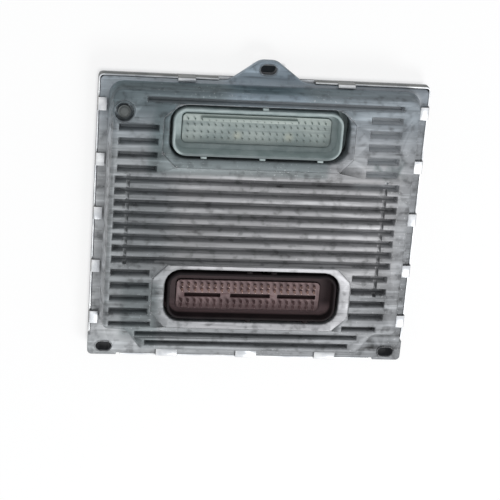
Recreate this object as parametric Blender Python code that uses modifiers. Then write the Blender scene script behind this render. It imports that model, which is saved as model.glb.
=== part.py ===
"""Engine control unit: a finned die-cast housing with two pin headers, closed by a crimped back cover.

The unit lies on its back cover. +Z points out of the finned face, +Y to the ear at the top, +X right.
The origin is at the centre of the flange, on the plane that the back cover rests on.
"""

import math

import bmesh
import bpy
from mathutils import Matrix, Vector

MM = 0.001
GAP = 0.3 * MM

# Heights above the rest plane
COVER_SHEET = 1.0 * MM
DISH_DEPTH = 5.0 * MM
COVER_RIM_TOP = DISH_DEPTH + COVER_SHEET
FLANGE_BOTTOM = COVER_RIM_TOP + GAP
FLANGE_TOP = 11.8 * MM
CEILING = 17.0 * MM
GROOVE_FLOOR = 20.0 * MM
FIN_TOP = 24.5 * MM
FRAME_TOP = 25.3 * MM
BOARD_BOTTOM = 8.5 * MM
BOARD_TOP = 10.1 * MM
ON_BOARD = BOARD_TOP + GAP
UNDER_BOARD = BOARD_BOTTOM - GAP

# Flange, seen from the front
FLANGE_WIDTH = 183.9 * MM
FLANGE_HEIGHT = 166.7 * MM
FLANGE_CORNER = 2.5 * MM
EAR_X = 0.1 * MM
EAR_FOOT = 20.8 * MM
EAR_TIP = 4.6 * MM
EAR_REACH = 94.0 * MM

# Bolt slots
SLOT_WIDTH = 9.1 * MM
SLOT_HEIGHT = 5.6 * MM
SLOT_RIM = 1.0 * MM
SLOT_RIM_RISE = 0.6 * MM
EAR_SLOT_Y = 89.4 * MM
CORNER_SLOT_X = 82.8 * MM
CORNER_SLOT_Y = -77.9 * MM
BOLT_SLOTS = [
    (EAR_X, EAR_SLOT_Y),
    (-CORNER_SLOT_X, CORNER_SLOT_Y),
    (CORNER_SLOT_X, CORNER_SLOT_Y),
]

# Finned body
BODY_SIDE = 86.3 * MM
BODY_TOP = 80.7 * MM
BODY_BOTTOM = -75.8 * MM
BODY_DRAFT = 2.0 * MM
NOTCH_TOP = -63.9 * MM
NOTCH_INNER = 72.0 * MM
NOTCH_FOOT = 63.5 * MM
SLANT = 0.4 * MM
WALL = 3.0 * MM

# Cooling grooves: the fins are what is left between them
GROOVE_FOOT = 2.0 * MM
GROOVE_MOUTH = 3.4 * MM
EDGE_GROOVE_MOUTH = 2.4 * MM
GROOVE_CHAMFER = 0.6 * MM
GROOVE_END_SLOPE = 0.3
FIN_PITCH = 6.71 * MM
FIRST_GROOVE_Y = 27.9 * MM
LONG_GROOVES = 8
FIN_LEFT = -81.6 * MM
FIN_RIGHT = 77.0 * MM
STUB_PITCH = 7.8 * MM
LOWER_LEFT_STUB_Y = -27.0 * MM
LOWER_RIGHT_STUB_Y = -27.2 * MM
UPPER_LEFT_STUB_Y = 34.3 * MM
UPPER_RIGHT_STUB_Y = 35.5 * MM
CROSS_CUT_LEFT = -74.0 * MM
CROSS_CUT_RIGHT = 69.6 * MM
CROSS_CUT_WIDTH = 1.9 * MM
CROSS_CUT_DEPTH = 3.0 * MM

# Header openings: centre, then size
UPPER_CENTRE = (-3.35 * MM, 56.35 * MM)
UPPER_SIZE = (99.2 * MM, 30.5 * MM)
LOWER_CENTRE = (-0.9 * MM, -39.8 * MM)
LOWER_SIZE = (99.8 * MM, 31.5 * MM)
OPENINGS = [(UPPER_CENTRE, UPPER_SIZE), (LOWER_CENTRE, LOWER_SIZE)]
OPENING_CORNER = 9.5 * MM
OPENING_CHAMFER = 0.6 * MM
UPPER_FRAME = (UPPER_CENTRE, 53.2 * MM, 53.2 * MM, 21.0 * MM, 15.3 * MM, 8 * MM)
LOWER_FRAME = (LOWER_CENTRE, 57.4 * MM, 56.4 * MM, 20.3 * MM, 19.1 * MM, 9 * MM)
COLLAR_WALL = 3.0 * MM
COLLAR_BOTTOM = 14.4 * MM

# Headers
SHROUD_CORNER = 8.0 * MM
SHROUD_WALL = 2.0 * MM
SHROUD_TOP = 25.4 * MM
UPPER_SHROUD = ((-4.45 * MM, 56.35 * MM), (94.0 * MM, 27.6 * MM))
LOWER_SHROUD = (LOWER_CENTRE, (96.8 * MM, 28.5 * MM))
HEADER_BASE_TOP = 13.0 * MM
HEADER_FLOOR = 16.0 * MM
SEAL_THICKNESS = 0.8 * MM
GUIDE_RIB_WIDTH = 3.2 * MM

# Carriers: centre and size, then the contacts' width, top and rows
UPPER_CARRIER = ((-4.4 * MM, 56.3 * MM), (82.4 * MM, 16.4 * MM))
LOWER_CARRIER = ((-2.05 * MM, -42.0 * MM), (82.4 * MM, 17.4 * MM))
CARRIER_TOP = 16.9 * MM
CARRIER_CORNER = 2.7 * MM
UPPER_PINS = (0.7 * MM, 19.4 * MM, [5.2 * MM, 2.0 * MM, -2.0 * MM, -5.2 * MM])
LOWER_PINS = (0.9 * MM, 20.9 * MM, [6.1 * MM, 3.0 * MM, -3.9 * MM, -6.6 * MM])
PIN_COLUMNS = 21
PIN_PITCH = 3.8 * MM
SLOTS = [(-36.5 * MM, -15.7 * MM), (-10.2 * MM, 12.8 * MM), (16.9 * MM, 39.2 * MM)]
SLOT_SHIFT = -0.6 * MM
SLOT_OPENING = 2.6 * MM
SLOT_DEPTH = 3.2 * MM
LEDGE_LOW = (-35.0 * MM, 60.8 * MM, 16.5 * MM)
LEDGE_HIGH = (18.0 * MM, 62.9 * MM, 18.3 * MM)

# Crimp tabs of the back cover
TAB_PITCH = 31.6 * MM
TAB_MIDDLE_LEFT = 3.6 * MM
TAB_MIDDLE_RIGHT = 5.2 * MM
TAB_LENGTH_SIDE = 7.4 * MM
TAB_LENGTH_END = 12.2 * MM
TAB_LENGTH_TOP = 9.6 * MM
TAB_FOLD = 4.9 * MM
TAB_FOLD_TOP = 2.1 * MM
TAB_SHEET = 0.9 * MM
TAB_BEND = 0.3 * MM
SKIRT_TOP = 11.0 * MM
SKIRT_SPACE = TAB_SHEET + GAP
BOTTOM_TAB_PITCH = 46.4 * MM
TOP_TAB_X = 44.2 * MM
CORNER_CUT = (17.0 * MM, 12.6 * MM)
DISH_INSET = 6.5 * MM
DISH_SLOPE = 0.3
BEAD_ROWS = [-50 * MM, -18 * MM, 18 * MM, 50 * MM]

# Vent
VENT_CENTRE = (-77.9 * MM, 66.3 * MM)
VENT_SEAT_RADIUS = 6.2 * MM
VENT_POCKET_RADIUS = 5.2 * MM
VENT_POCKET_FLOOR = 21.5 * MM
VENT_HOLE_RADIUS = 2.2 * MM

# Board, posts and screws
POST_RADIUS = 3.6 * MM
PILOT_RADIUS = 1.55 * MM
SCREW_RADIUS = 1.25 * MM
SCREW_HEAD_RADIUS = 2.9 * MM
SCREW_HEAD_HEIGHT = 1.9 * MM
SCREW_DEPTH = 5.0 * MM
POST_X = 76.5 * MM
POST_ROWS = [48.0 * MM, 4.0 * MM, -50.0 * MM]

# Components on the board
DRIVER_X = [-48.0 * MM, -16.0 * MM, 16.0 * MM, 48.0 * MM]
COMPONENT_Y = 8.0 * MM
DRIVER_SIZE = (13.0 * MM, 13.0 * MM, 2.4 * MM)
PAD_THICKNESS = 1.4 * MM
PEDESTAL_SIZE = (124.0 * MM, 20.0 * MM)


def clear_scene():
    for obj in list(bpy.data.objects):
        bpy.data.objects.remove(obj, do_unlink=True)


def new_collection(name, hidden=False):
    collection = bpy.data.collections.new(name)
    bpy.context.scene.collection.children.link(collection)
    collection.hide_render = hidden
    return collection


def make_material(name, colour, roughness, metallic=0.0):
    material = bpy.data.materials.new(name)
    material.use_nodes = True
    shader = material.node_tree.nodes["Principled BSDF"]
    shader.inputs["Base Color"].default_value = (*colour, 1.0)
    shader.inputs["Roughness"].default_value = roughness
    shader.inputs["Metallic"].default_value = metallic
    material.diffuse_color = (*colour, 1.0)
    return material


# Outlines start as lists of corners (x, y, radius), anticlockwise


def grown(corners, distance):
    """Moves an outline outwards by distance, or inwards if it is negative; arcs keep their centres."""
    moved = []
    for i, (x, y, radius) in enumerate(corners):
        corner = Vector((x, y))
        before = (corner - Vector(corners[i - 1][:2])).normalized()
        after = (Vector(corners[(i + 1) % len(corners)][:2]) - corner).normalized()
        outward = Vector((before.y + after.y, -before.x - after.x))
        shift = outward * (distance / (1 + before.dot(after)))
        bend = distance if before.cross(after) > 0 else -distance
        moved.append((x + shift.x, y + shift.y, max(radius + bend, 0.2 * MM)))
    return moved


def fillet(corners, steps=5):
    """The points of an outline, with an arc of the given radius at each corner."""
    points = []
    for i, (x, y, radius) in enumerate(corners):
        corner = Vector((x, y))
        before = (Vector(corners[i - 1][:2]) - corner).normalized()
        after = (Vector(corners[(i + 1) % len(corners)][:2]) - corner).normalized()
        half = before.angle(after) / 2
        centre = corner + (before + after).normalized() * (radius / math.sin(half))
        start = corner + before * (radius / math.tan(half)) - centre
        end = corner + after * (radius / math.tan(half)) - centre
        first = math.atan2(start.y, start.x)
        turn = math.atan2(start.cross(end), start.dot(end))
        for step in range(steps + 1):
            angle = first + turn * step / steps
            point = centre + radius * Vector((math.cos(angle), math.sin(angle)))
            if not points or (point - points[-1]).length > 0.01 * MM:
                points.append(point)
    if (points[0] - points[-1]).length < 0.01 * MM:
        points.pop()
    return [tuple(point) for point in points]


def rectangle(centre, size, radius, grow=0.0, steps=5):
    x, y = centre
    w, h = size[0] / 2, size[1] / 2
    corners = [(x - w, y - h), (x + w, y - h), (x + w, y + h), (x - w, y + h)]
    return fillet(grown([(*corner, radius) for corner in corners], grow), steps)


def slot_outline(centre, grow=0.0):
    return rectangle(centre, (SLOT_WIDTH, SLOT_HEIGHT), SLOT_HEIGHT / 2, grow, 6)


def body_outline(grow=0.0):
    corners = [
        (-NOTCH_FOOT, BODY_BOTTOM, 4 * MM),
        (NOTCH_FOOT, BODY_BOTTOM, 4 * MM),
        (NOTCH_INNER, NOTCH_TOP, 4 * MM),
        (BODY_SIDE, NOTCH_TOP + SLANT, 5 * MM),
        (BODY_SIDE, BODY_TOP, 8 * MM),
        (-BODY_SIDE, BODY_TOP, 8 * MM),
        (-BODY_SIDE, NOTCH_TOP + SLANT, 5 * MM),
        (-NOTCH_INNER, NOTCH_TOP, 4 * MM),
    ]
    return fillet(grown(corners, grow), 4)


def flange_outline(grow=0.0):
    """Full width at the bottom corners and the ear, and set back elsewhere for the cover's skirt."""
    side, end = FLANGE_WIDTH / 2, FLANGE_HEIGHT / 2
    inner_side, inner_end = side - SKIRT_SPACE, end - SKIRT_SPACE
    pad_x, pad_y = side - CORNER_CUT[0] + 0.6 * MM, -end + CORNER_CUT[1] - 0.6 * MM
    small = 0.2 * MM
    corners = [
        (-side, -end, FLANGE_CORNER),
        (-pad_x, -end, small),
        (-pad_x + SLANT, -inner_end, small),
        (pad_x - SLANT, -inner_end, small),
        (pad_x, -end, small),
        (side, -end, FLANGE_CORNER),
        (side, pad_y, small),
        (inner_side, pad_y + SLANT, small),
        (inner_side, inner_end, FLANGE_CORNER),
        (EAR_X + EAR_FOOT, inner_end - SLANT / 2, 9 * MM),
        (EAR_X + EAR_TIP, EAR_REACH, 8 * MM),
        (EAR_X - EAR_TIP, EAR_REACH, 8 * MM),
        (EAR_X - EAR_FOOT, inner_end - SLANT / 2, 9 * MM),
        (-inner_side, inner_end, FLANGE_CORNER),
        (-inner_side, pad_y + SLANT, small),
        (-side, pad_y, small),
    ]
    return fillet(grown(corners, grow), 6)


def frame_outline(centre, left, right, low, high, cut, grow=0.0):
    """A header frame with its corners cut off at a slant."""
    x, y = centre
    corners = [
        (x - left + cut, y - low),
        (x + right - cut, y - low),
        (x + right, y - low + cut),
        (x + right, y + high - cut),
        (x + right - cut, y + high),
        (x - left + cut, y + high),
        (x - left, y + high - cut),
        (x - left, y - low + cut),
    ]
    return fillet(grown([(*corner, 2.5 * MM) for corner in corners], grow), 3)


# Solids


def finish(obj, collection, material=None, smooth_angle=None):
    for owner in list(obj.users_collection):
        owner.objects.unlink(obj)
    collection.objects.link(obj)
    if material:
        obj.data.materials.clear()
        obj.data.materials.append(material)
    if smooth_angle:
        obj.data.shade_smooth()
        obj.data.set_sharp_from_angle(angle=math.radians(smooth_angle))
    return obj


def slab(name, outline, bottom, top):
    """A flat outline with thickness."""
    curve = bpy.data.curves.new(name, "CURVE")
    curve.dimensions = "2D"
    curve.fill_mode = "BOTH"
    curve.extrude = (top - bottom) / 2
    spline = curve.splines.new("POLY")
    spline.points.add(len(outline) - 1)
    for point, (x, y) in zip(spline.points, outline):
        point.co = (x, y, 0.0, 1.0)
    spline.use_cyclic_u = True
    flat = bpy.data.objects.new(name + "_outline", curve)
    bpy.context.scene.collection.objects.link(flat)
    graph = bpy.context.evaluated_depsgraph_get()
    mesh = bpy.data.meshes.new_from_object(flat.evaluated_get(graph))
    bpy.data.objects.remove(flat)
    form = bmesh.new()
    form.from_mesh(mesh)
    bmesh.ops.remove_doubles(form, verts=form.verts, dist=0.001 * MM)
    for vert in form.verts:
        vert.co.z = top if vert.co.z > 0 else bottom
    caps = [face for face in form.faces if abs(face.normal.z) > 0.5]
    bmesh.ops.dissolve_faces(form, faces=caps)
    bmesh.ops.recalc_face_normals(form, faces=form.faces)
    return mesh_object(name, form)


def loft(name, sections):
    """A solid through outlines of equal length, given as (outline, height) from the bottom up."""
    form = bmesh.new()
    rings = [[form.verts.new((x, y, z)) for x, y in outline] for outline, z in sections]
    for lower, upper in zip(rings, rings[1:]):
        for i in range(len(lower)):
            form.faces.new((lower[i - 1], lower[i], upper[i], upper[i - 1]))
    form.faces.new(reversed(rings[0]))
    form.faces.new(rings[-1])
    return mesh_object(name, form)


def box(name, low, high, bevel=0.0):
    """A block from corner to corner, whose edges may be cut off."""
    form = bmesh.new()
    bmesh.ops.create_cube(form, size=1.0)
    size = [high[i] - low[i] for i in range(3)]
    centre = [(high[i] + low[i]) / 2 for i in range(3)]
    bmesh.ops.scale(form, vec=size, verts=form.verts)
    if bevel:
        bmesh.ops.bevel(form, geom=form.edges[:], offset=bevel, segments=1, affect="EDGES")
    bmesh.ops.translate(form, vec=centre, verts=form.verts)
    return mesh_object(name, form)


def cylinder(name, centre, radius, bottom, top, segments=24):
    form = bmesh.new()
    bmesh.ops.create_cone(
        form, cap_ends=True, segments=segments, radius1=radius, radius2=radius, depth=top - bottom
    )
    bmesh.ops.translate(form, vec=(*centre, (top + bottom) / 2), verts=form.verts)
    return mesh_object(name, form)


def turned(name, profile, centre, steps=24):
    """A profile of (radius, height) from top to bottom, turned about a vertical axis at centre."""
    mesh = bpy.data.meshes.new(name)
    mesh.from_pydata([(r, 0.0, z) for r, z in profile], [(i, i + 1) for i in range(len(profile) - 1)], [])
    obj = bpy.data.objects.new(name, mesh)
    bpy.context.scene.collection.objects.link(obj)
    obj.location = (*centre, 0.0)
    screw = obj.modifiers.new("Turn", "SCREW")
    screw.axis = "Z"
    screw.steps = steps
    screw.render_steps = steps
    screw.use_merge_vertices = True
    screw.merge_threshold = 0.01 * MM
    return obj


def mesh_object(name, form):
    mesh = bpy.data.meshes.new(name)
    form.to_mesh(mesh)
    form.free()
    obj = bpy.data.objects.new(name, mesh)
    bpy.context.scene.collection.objects.link(obj)
    return obj


def gather(name, objects):
    """Joins separate shapes into one mesh, as one cutter or one set of additions."""
    form = bmesh.new()
    for obj in objects:
        form.from_mesh(obj.data)
        bpy.data.objects.remove(obj)
    return mesh_object(name, form)


def combine(obj, other, operation, cutters):
    """Adds a Boolean modifier and puts the other shape away with the cutters."""
    finish(other, cutters)
    other.hide_render = True
    other.display_type = "WIRE"
    modifier = obj.modifiers.new(other.name, "BOOLEAN")
    modifier.operation = operation
    modifier.solver = "EXACT"
    modifier.object = other


def join(obj, other, cutters):
    combine(obj, other, "UNION", cutters)


def cut(obj, other, cutters):
    combine(obj, other, "DIFFERENCE", cutters)


# Housing


def groove(left, right, y, mouth_width=GROOVE_MOUTH):
    """The space of one cooling groove: a narrow foot, a wider mouth and chamfered fin edges."""
    foot, mouth = GROOVE_FOOT / 2, mouth_width / 2
    lip = mouth + GROOVE_CHAMFER
    above = FRAME_TOP + 1 * MM
    profile = [
        (-foot, GROOVE_FLOOR),
        (foot, GROOVE_FLOOR),
        (mouth, FIN_TOP - GROOVE_CHAMFER),
        (lip, FIN_TOP),
        (lip, above),
        (-lip, above),
        (-lip, FIN_TOP),
        (-mouth, FIN_TOP - GROOVE_CHAMFER),
    ]
    shape = slab("groove", profile, left, right)
    # The slab stands along Z: this lays it along X, with its profile upright.
    lay = Matrix(((0, 0, 1, 0), (1, 0, 0, y), (0, 1, 0, 0), (0, 0, 0, 1)))
    shape.data.transform(lay)
    middle = (left + right) / 2
    for vert in shape.data.vertices:
        depth = max(FIN_TOP - vert.co.z, 0.0)
        vert.co.x += depth * GROOVE_END_SLOPE * (1 if vert.co.x < middle else -1)
    return shape


def groove_spans():
    """The left end, right end and height of each groove on the front face."""
    spans = [(FIN_LEFT, FIN_RIGHT, FIRST_GROOVE_Y - i * FIN_PITCH) for i in range(LONG_GROOVES)]
    for i in range(4):
        spans.append((-81.6 * MM, -59.4 * MM, LOWER_LEFT_STUB_Y - i * STUB_PITCH))
        spans.append((55.6 * MM, 76.2 * MM, LOWER_RIGHT_STUB_Y - i * STUB_PITCH))
        spans.append((-80.6 * MM, -58.6 * MM, UPPER_LEFT_STUB_Y + i * STUB_PITCH))
        spans.append((57.4 * MM, 75.4 * MM, UPPER_RIGHT_STUB_Y + i * STUB_PITCH))
    spans.append((57.4 * MM, 75.4 * MM, UPPER_RIGHT_STUB_Y + 4 * STUB_PITCH))
    return spans


def edge_groove_spans():
    """The narrower grooves along the top and bottom edges of the body."""
    return [
        (-81.6 * MM, -57.6 * MM, LOWER_LEFT_STUB_Y - 4 * STUB_PITCH),
        (52.4 * MM, 72.4 * MM, LOWER_RIGHT_STUB_Y - 4 * STUB_PITCH),
        (-66.4 * MM, 62.2 * MM, -64.0 * MM),
        (-60.6 * MM, 57.2 * MM, -69.5 * MM),
        (-66.0 * MM, 75.4 * MM, 73.8 * MM),
    ]


def cross_cuts():
    """The two grooves that run across the fins, as sawn with a disc."""
    floor = FIN_TOP - CROSS_CUT_DEPTH
    top = FRAME_TOP + 1 * MM
    half = CROSS_CUT_WIDTH / 2
    spans = [(CROSS_CUT_LEFT, -22.0 * MM), (CROSS_CUT_RIGHT, -38.0 * MM)]
    cuts = [
        box("cross_cut", (x - half, low, floor), (x + half, 31.2 * MM, top))
        for x, low in spans
    ]
    return gather("cross_cuts", cuts)


def board_posts():
    return [(side * POST_X, y) for side in (-1, 1) for y in POST_ROWS]


def make_housing(parts, cutters, material):
    flange_sections = [
        (flange_outline(-0.4 * MM), FLANGE_BOTTOM),
        (flange_outline(), FLANGE_BOTTOM + 0.4 * MM),
        (flange_outline(), FLANGE_TOP - 0.5 * MM),
        (flange_outline(-0.15 * MM), FLANGE_TOP - 0.15 * MM),
        (flange_outline(-0.5 * MM), FLANGE_TOP),
    ]
    housing = loft("housing", flange_sections)
    body_sections = [
        (body_outline(0.3 * MM), FLANGE_TOP - 2 * MM),
        (body_outline(-BODY_DRAFT * 0.9), FIN_TOP - 1.3 * MM),
        (body_outline(-BODY_DRAFT - 0.2 * MM), FIN_TOP - 0.4 * MM),
        (body_outline(-BODY_DRAFT - 1.0 * MM), FIN_TOP),
    ]
    body = loft("body", body_sections)
    join(housing, body, cutters)

    bosses = []
    for x, y in BOLT_SLOTS[1:]:
        centre = (x, y + 0.4 * MM)
        bosses.append(slab("boss", rectangle(centre, (14.4 * MM, 9.8 * MM), 4 * MM), 0.0, 8 * MM))
    for centre in BOLT_SLOTS:
        rim = [
            (slot_outline(centre, SLOT_RIM), FLANGE_TOP - 1 * MM),
            (slot_outline(centre, SLOT_RIM - 0.4 * MM), FLANGE_TOP + SLOT_RIM_RISE),
        ]
        bosses.append(loft("rim", rim))
    join(housing, gather("bolt_bosses", bosses), cutters)

    frames = []
    for place in (UPPER_FRAME, LOWER_FRAME):
        sections = [
            (frame_outline(*place), FIN_TOP - 2 * MM),
            (frame_outline(*place, grow=-0.2 * MM), FRAME_TOP - 0.5 * MM),
            (frame_outline(*place, grow=-0.8 * MM), FRAME_TOP),
        ]
        frames.append(loft("frame", sections))
    join(housing, gather("header_frames", frames), cutters)
    seat = cylinder("vent_seat", VENT_CENTRE, VENT_SEAT_RADIUS, FLANGE_TOP + 4 * MM, FRAME_TOP, 32)
    join(housing, seat, cutters)

    inside_sections = [
        (body_outline(-WALL), FLANGE_BOTTOM - 1 * MM),
        (body_outline(-WALL - 1.2 * MM), CEILING),
    ]
    inside = loft("inside", inside_sections)
    cut(housing, inside, cutters)
    seal_groove = slab("seal_groove", body_outline(0.9 * MM), FLANGE_BOTTOM - 1 * MM, 7.5 * MM)
    cut(seal_groove, slab("seal_groove_core", body_outline(-2.1 * MM), 0.0, 9 * MM), cutters)
    cut(housing, seal_groove, cutters)

    grooves = [groove(*span) for span in groove_spans()]
    grooves += [groove(*span, EDGE_GROOVE_MOUTH) for span in edge_groove_spans()]
    cut(housing, gather("grooves", grooves), cutters)
    cut(housing, cross_cuts(), cutters)

    fittings = []
    for centre, size in OPENINGS:
        outline = rectangle(centre, size, OPENING_CORNER, COLLAR_WALL)
        fittings.append(slab("collar", outline, COLLAR_BOTTOM, CEILING + 1 * MM))
    for centre in board_posts():
        fittings.append(cylinder("post", centre, POST_RADIUS, ON_BOARD, CEILING + 1 * MM, 20))
    half_x, half_y = PEDESTAL_SIZE[0] / 2, PEDESTAL_SIZE[1] / 2
    pedestal_bottom = ON_BOARD + DRIVER_SIZE[2] + PAD_THICKNESS + 2 * GAP
    low = (-half_x, COMPONENT_Y - half_y, pedestal_bottom)
    high = (half_x, COMPONENT_Y + half_y, CEILING + 1 * MM)
    fittings.append(box("pedestal", low, high))
    join(housing, gather("inner_fittings", fittings), cutters)

    holes = []
    for centre, size in OPENINGS:
        straight = rectangle(centre, size, OPENING_CORNER)
        mouth = rectangle(centre, size, OPENING_CORNER, OPENING_CHAMFER)
        levels = [
            (straight, 10 * MM),
            (straight, FRAME_TOP - OPENING_CHAMFER),
            (mouth, FRAME_TOP),
            (mouth, 30 * MM),
        ]
        holes.append(loft("opening", levels))
    holes += [slab("bolt_slot", slot_outline(centre), -1 * MM, 20 * MM) for centre in BOLT_SLOTS]
    holes += [
        cylinder("pilot", centre, PILOT_RADIUS, 9 * MM, ON_BOARD + SCREW_DEPTH + 1 * MM, 12)
        for centre in board_posts()
    ]
    holes.append(cylinder("vent_hole", VENT_CENTRE, VENT_HOLE_RADIUS, 15 * MM, 23 * MM, 16))
    cut(housing, gather("holes", holes), cutters)
    pocket = cylinder("vent_pocket", VENT_CENTRE, VENT_POCKET_RADIUS, VENT_POCKET_FLOOR, 30 * MM, 32)
    cut(housing, pocket, cutters)
    return finish(housing, parts, material)


# Back cover


def tab_places():
    """Each tab's place on the flange edge, the way that it faces, its length and its fold."""
    side, end = FLANGE_WIDTH / 2, FLANGE_HEIGHT / 2
    places = []
    for i in range(-2, 3):
        right, left = TAB_MIDDLE_RIGHT + i * TAB_PITCH, TAB_MIDDLE_LEFT + i * TAB_PITCH
        places.append((side, right, 0.0, TAB_LENGTH_SIDE, TAB_FOLD))
        places.append((-side, left, math.pi, TAB_LENGTH_SIDE, TAB_FOLD))
    for i in range(-1, 2):
        places.append((i * BOTTOM_TAB_PITCH, -end, -math.pi / 2, TAB_LENGTH_END, TAB_FOLD))
    for x in (-TOP_TAB_X, TOP_TAB_X):
        places.append((x, end, math.pi / 2, TAB_LENGTH_TOP, TAB_FOLD_TOP))
    return places


def arc(centre, radius, first, last, steps=4):
    """Points on an arc in the section of a tab, from one angle to the other in degrees."""
    angles = [math.radians(first + (last - first) * i / steps) for i in range(steps + 1)]
    return [(centre[0] + radius * math.cos(a), centre[1] + radius * math.sin(a)) for a in angles]


def tab_profile(fold):
    """The section of a tab: up the edge of the flange and folded flat onto its front."""
    top = FLANGE_TOP + GAP + TAB_SHEET
    outer_bend = TAB_BEND + TAB_SHEET
    low_bend = (-outer_bend, DISH_DEPTH + outer_bend)
    high_bend = (-outer_bend, top - outer_bend)
    root = -3.0 * MM
    outside = [(root, DISH_DEPTH)]
    outside += arc(low_bend, outer_bend, -90, 0)
    outside += arc(high_bend, outer_bend, 0, 90)
    inside = [(-fold, top), (-fold, top - TAB_SHEET)]
    inside += arc(high_bend, TAB_BEND, 90, 0)
    inside += arc((-outer_bend, COVER_RIM_TOP + TAB_BEND), TAB_BEND, 0, -90)
    return outside + inside + [(root, COVER_RIM_TOP)]


def on_flange(shape, x, y, turn):
    """Stands a section up and carries it to its place on the flange edge."""
    upright = Matrix(((1, 0, 0, 0), (0, 0, -1, 0), (0, 1, 0, 0), (0, 0, 0, 1)))
    shape.data.transform(Matrix.Translation((x, y, 0.0)) @ Matrix.Rotation(turn, 4, "Z") @ upright)
    return shape


def cover_tabs():
    tabs = []
    for x, y, turn, length, fold in tab_places():
        tab = slab("tab", tab_profile(fold), -length / 2, length / 2)
        tabs.append(on_flange(tab, x, y, turn))
    return gather("crimp_tabs", tabs)


def cover_outline():
    """The flat of the cover, cut away at the bottom corners to leave the bosses free."""
    side, end = FLANGE_WIDTH / 2, FLANGE_HEIGHT / 2
    cut_x, cut_y = CORNER_CUT
    return [
        (-side + cut_x, -end, 2 * MM),
        (side - cut_x, -end, 2 * MM),
        (side - cut_x, -end + cut_y, 3 * MM),
        (side, -end + cut_y + SLANT, 2 * MM),
        (side, end, FLANGE_CORNER),
        (-side, end, FLANGE_CORNER),
        (-side, -end + cut_y + SLANT, 2 * MM),
        (-side + cut_x, -end + cut_y, 3 * MM),
    ]


def cover_skirt(cutters):
    """The upright wall round the flange, open at the ear and at the bottom corners."""
    outline = cover_outline()
    low, high = COVER_RIM_TOP - 0.5 * MM, SKIRT_TOP
    skirt = slab("skirt", fillet(grown(outline, -0.05 * MM), 4), low, high)
    core = slab("skirt_core", fillet(grown(outline, -TAB_SHEET), 4), low - 1 * MM, high + 1 * MM)
    cut(skirt, core, cutters)
    side, end = FLANGE_WIDTH / 2, FLANGE_HEIGHT / 2
    reach_x, reach_y = side - CORNER_CUT[0] - 1.6 * MM, -end + CORNER_CUT[1] + 1.8 * MM
    ear = EAR_FOOT + 6 * MM
    spans = [
        ((EAR_X - ear, end - 4 * MM), (EAR_X + ear, end + 4 * MM)),
        ((-side - 2 * MM, -end - 2 * MM), (-reach_x, reach_y)),
        ((reach_x, -end - 2 * MM), (side + 2 * MM, reach_y)),
    ]
    gaps = [box("skirt_gap", (*start, low - 1 * MM), (*stop, high + 1 * MM)) for start, stop in spans]
    cut(skirt, gather("skirt_gaps", gaps), cutters)
    return skirt


def cover_beads(grow, bottom, top):
    """Long stiffening beads pressed into the panel."""
    size = (96 * MM, 7 * MM)
    beads = [
        slab("bead", rectangle((0, y), size, size[1] / 2, grow, 6), bottom, top)
        for y in BEAD_ROWS
    ]
    return gather("beads", beads)


def make_back_cover(parts, cutters, material):
    cover = slab("back_cover", fillet(cover_outline(), 4), DISH_DEPTH, COVER_RIM_TOP)
    inside_rim = DISH_DEPTH + COVER_SHEET / 2
    low, high = DISH_INSET, DISH_INSET - DISH_SLOPE * inside_rim
    dish_sections = [(body_outline(-low), 0.0), (body_outline(-high), inside_rim)]
    join(cover, loft("dish", dish_sections), cutters)
    low, high = low + COVER_SHEET, high + COVER_SHEET - DISH_SLOPE * 2 * COVER_SHEET
    hollow_sections = [
        (body_outline(-low), COVER_SHEET),
        (body_outline(-high), COVER_RIM_TOP + COVER_SHEET),
    ]
    cut(cover, loft("dish_hollow", hollow_sections), cutters)
    join(cover, cover_beads(COVER_SHEET, 0.4 * MM, 2 * COVER_SHEET), cutters)
    cut(cover, cover_beads(0.0, -1 * MM, COVER_SHEET), cutters)
    join(cover, cover_skirt(cutters), cutters)
    join(cover, cover_tabs(), cutters)
    return finish(cover, parts, material)


def make_ring(name, outer, inner, bottom, top, parts, cutters, material):
    ring = slab(name, outer, bottom, top)
    core = slab(name + "_core", inner, bottom - 1 * MM, top + 1 * MM)
    cut(ring, core, cutters)
    return finish(ring, parts, material)


# Headers


def guide_ribs(opening, shroud, ribs):
    """Small ribs that centre the shroud in its opening: (x, side) with side 1 at the top, -1 below."""
    middle = opening[0][1]
    blocks = []
    for x, side in ribs:
        inner = middle + side * (shroud[1][1] / 2 - 0.8 * MM)
        outer = middle + side * (opening[1][1] / 2 - GAP)
        low = (x - GUIDE_RIB_WIDTH / 2, min(inner, outer), HEADER_BASE_TOP - 1 * MM)
        high = (x + GUIDE_RIB_WIDTH / 2, max(inner, outer), SHROUD_TOP - 0.6 * MM)
        blocks.append(box("guide_rib", low, high))
    return gather("guide_ribs", blocks)


def make_header(name, opening, shroud, carrier, ribs, parts, cutters, material):
    header = slab(name, rectangle(*opening, OPENING_CORNER, COLLAR_WALL), ON_BOARD, HEADER_BASE_TOP)

    def section(grow):
        return rectangle(*shroud, SHROUD_CORNER, grow, 7)

    shroud_sections = [
        (section(0.0), HEADER_BASE_TOP - 1 * MM),
        (section(-0.2 * MM), SHROUD_TOP - 0.5 * MM),
        (section(-0.6 * MM), SHROUD_TOP),
    ]
    join(header, loft("shroud", shroud_sections), cutters)
    join(header, guide_ribs(opening, shroud, ribs), cutters)
    well_sections = [
        (section(-SHROUD_WALL - 0.2 * MM), HEADER_FLOOR),
        (section(-SHROUD_WALL + 0.2 * MM), SHROUD_TOP - 0.4 * MM),
        (section(-SHROUD_WALL + 0.8 * MM), SHROUD_TOP + 0.2 * MM),
    ]
    cut(header, loft("well", well_sections), cutters)
    pocket = slab("carrier_pocket", rectangle(*carrier, CARRIER_CORNER, GAP), 0.0, 20 * MM)
    cut(header, pocket, cutters)
    return finish(header, parts, material)


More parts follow.
